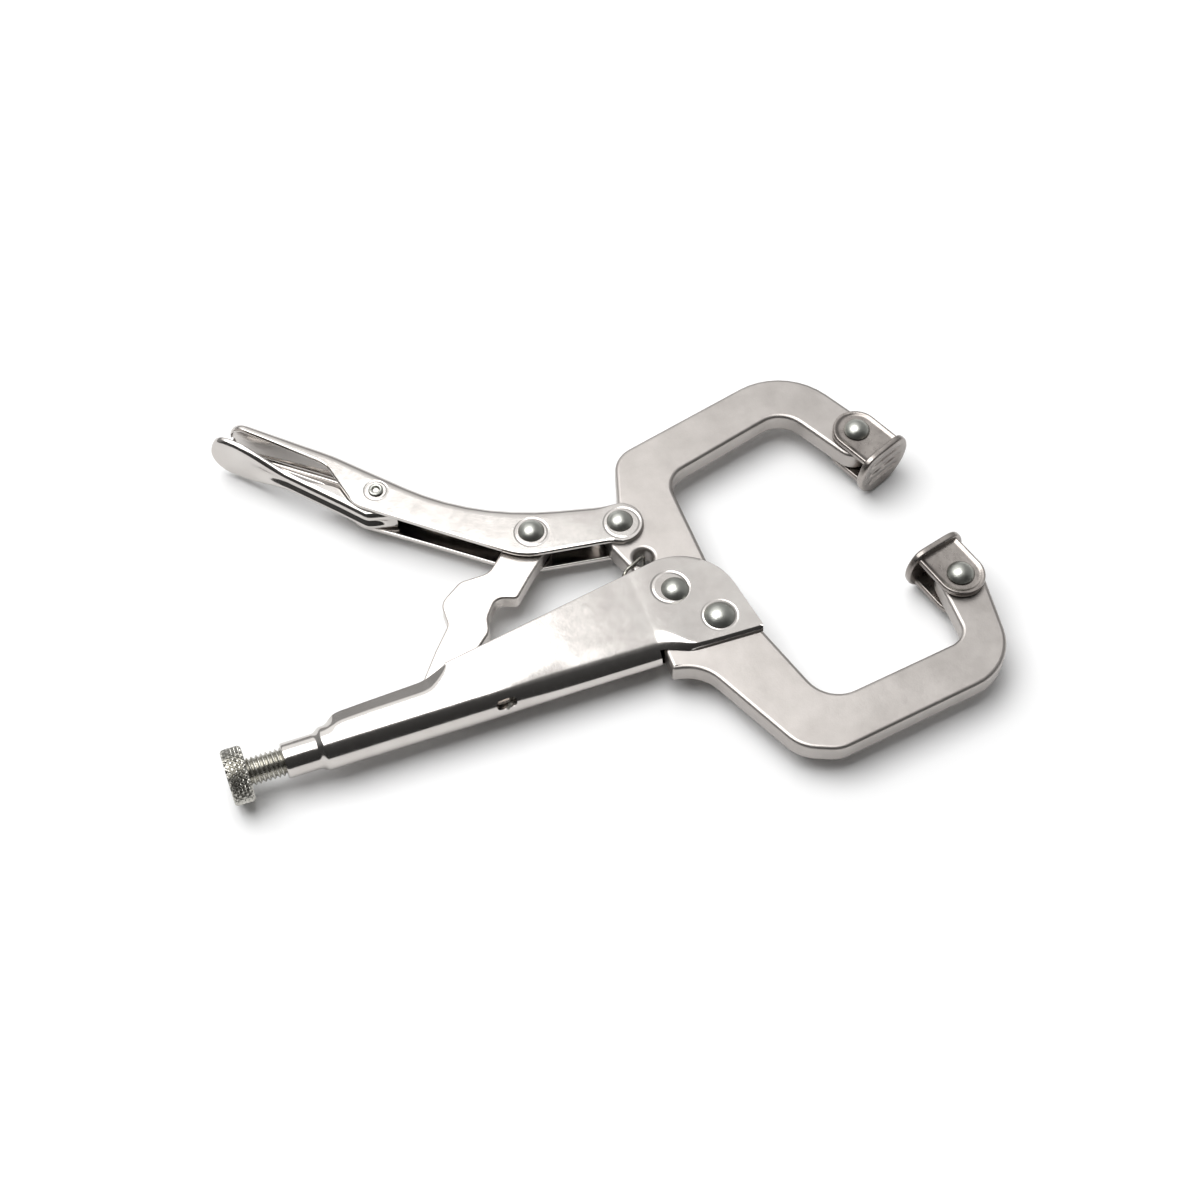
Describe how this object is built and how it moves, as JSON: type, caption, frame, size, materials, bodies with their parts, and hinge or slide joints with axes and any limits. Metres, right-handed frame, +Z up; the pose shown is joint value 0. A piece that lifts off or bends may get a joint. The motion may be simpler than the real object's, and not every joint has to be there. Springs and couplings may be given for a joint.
{
  "type": "locking c clamp",
  "caption": "Locking pliers with two deep C-shaped plate jaws, swivel pads, a toggle link, an adjusting screw and a release lever.",
  "frame": {"origin": "middle of the clamp's bounding box in plan, on the surface that it lies on", "axes": "+X along the adjusting screw from its knob towards the jaws, +Y from the fixed jaw's side towards the moving jaw's, +Z up through the clamp's thickness"},
  "size_m": [0.1664, 0.1232, 0.0136],
  "materials": {
    "pressed_sheet": "polished nickel plate",
    "jaw_plate": "satin nickel plate",
    "link_plate": "satin nickel plate",
    "screw_steel": "zinc plate",
    "spring_wire": "bright wire",
    "rivet_steel": "tumbled nickel plate",
    "pad_sheet": "nickel plate"
  },
  "bodies": {
    "root": {"fixed_handle": "pressed_sheet", "fixed_jaw": "jaw_plate", "jaw_pivot_rivet": "rivet_steel", "fixed_jaw_rivet": "rivet_steel", "tension_spring": "spring_wire"},
    "moving_jaw": {"moving_jaw": "jaw_plate"},
    "lever": {"lever_handle": "pressed_sheet", "lever_jaw_rivet": "rivet_steel", "lever_link_rivet": "rivet_steel", "release_lever_pin": "rivet_steel"},
    "link": {"toggle_link": "link_plate"},
    "release": {"release_lever": "pressed_sheet"},
    "screw": {"adjusting_screw": "screw_steel"},
    "upper_pad": {"upper_pad": "pad_sheet", "upper_pad_rivet": "rivet_steel"},
    "lower_pad": {"lower_pad": "pad_sheet", "lower_pad_rivet": "rivet_steel"}
  },
  "joints": [
    {"name": "jaw_pivot", "type": "hinge", "parent": "root", "child": "moving_jaw", "pos_m": [0.01795, -0.01417, 0.0075], "axis": [0, 0, 1], "range_deg": [-22.5, 0], "deforming": ["tension_spring"]},
    {"name": "lever_pivot", "type": "hinge", "parent": "moving_jaw", "child": "lever", "pos_m": [0.01305, 0.00656, 0.0075], "axis": [0, 0, 1], "range_deg": [0, 58]},
    {"name": "link_pivot", "type": "hinge", "parent": "lever", "child": "link", "pos_m": [-0.00602, 0.01064, 0.0075], "axis": [0, 0, 1], "range_deg": [-56, 0]},
    {"name": "release_pivot", "type": "hinge", "parent": "lever", "child": "release", "pos_m": [-0.03473, 0.03227, 0.0075], "axis": [0, 0, 1], "range_deg": [-5, 6]},
    {"name": "screw_travel", "type": "slide", "parent": "root", "child": "screw", "axis": [1, 0, 0], "range_m": [-0.015, 0]},
    {"name": "upper_pad_swivel", "type": "hinge", "parent": "moving_jaw", "child": "upper_pad", "pos_m": [0.07155, 0.01153, 0.0075], "axis": [0, 0, 1], "range_deg": [-12, 12]},
    {"name": "lower_pad_swivel", "type": "hinge", "parent": "root", "child": "lower_pad", "pos_m": [0.07705, -0.03157, 0.0075], "axis": [0, 0, 1], "range_deg": [-12, 12]}
  ],
  "couplings": [
    {"joint": "jaw_pivot", "follows": "lever_pivot", "ratio": -0.36},
    {"joint": "link_pivot", "follows": "lever_pivot", "ratio": -0.93}
  ]
}
